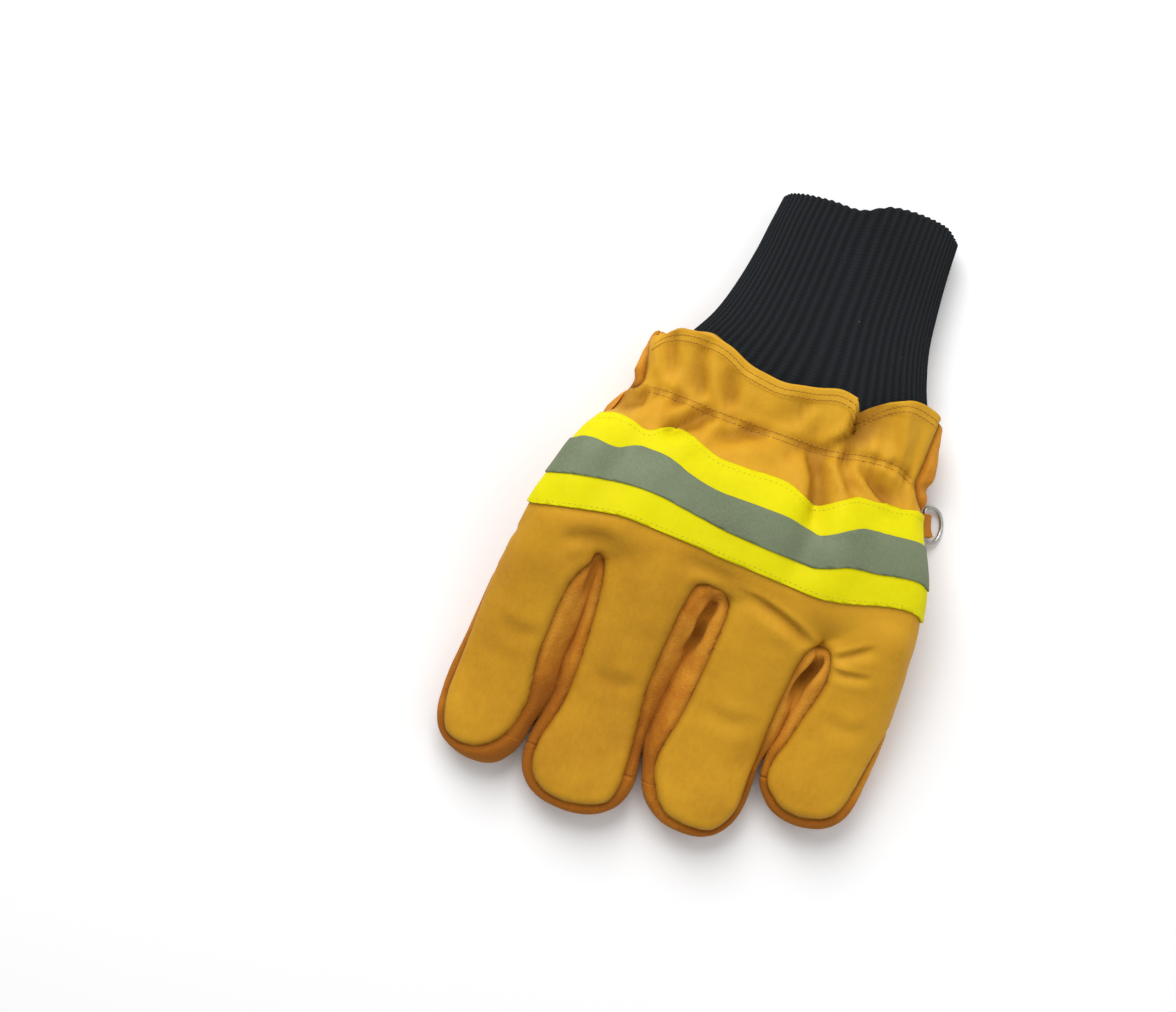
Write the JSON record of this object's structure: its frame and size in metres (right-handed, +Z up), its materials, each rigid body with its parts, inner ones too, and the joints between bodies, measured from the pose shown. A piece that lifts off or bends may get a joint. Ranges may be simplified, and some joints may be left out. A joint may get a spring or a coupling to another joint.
{
  "type": "firefighter glove",
  "caption": "Left-hand firefighter's glove in gold grain leather and suede, lying palm down, with a reflective tape across the back, a ribbed knit wristlet and a D-ring on a side tab",
  "frame": {"origin": "on the resting surface, under the middle of the whole glove", "axes": "+Z up out of the back of the hand; +Y from the fingertips to the wrist; +X to the little finger"},
  "size_m": [0.1638, 0.2586, 0.0481],
  "materials": {
    "grain_leather": "satin",
    "suede": "matte",
    "rib_knit": "matte",
    "yellow_tape": "satin",
    "silver_tape": "satin",
    "ring_steel": "brushed"
  },
  "bodies": {
    "glove": {"back_panel": "grain_leather", "palm_panel": "suede", "front_index": "suede", "front_middle": "suede", "front_ring": "suede", "front_little": "suede", "wall_index_middle": "suede", "wall_middle_ring": "suede", "wall_ring_little": "suede", "thumb": "suede", "wrist_patch": "suede", "ring_tab": "suede", "wristlet": "rib_knit", "tape": "yellow_tape", "tape_silver": "silver_tape"},
    "ring": {"d_ring": "ring_steel"}
  },
  "joints": [
    {"name": "ring_swing", "type": "hinge", "parent": "glove", "child": "ring", "pos_m": [0.07056, 0.01955, 0.0052], "axis": [0.2419, -0.9703, 0], "range_deg": [-50, 110]}
  ]
}
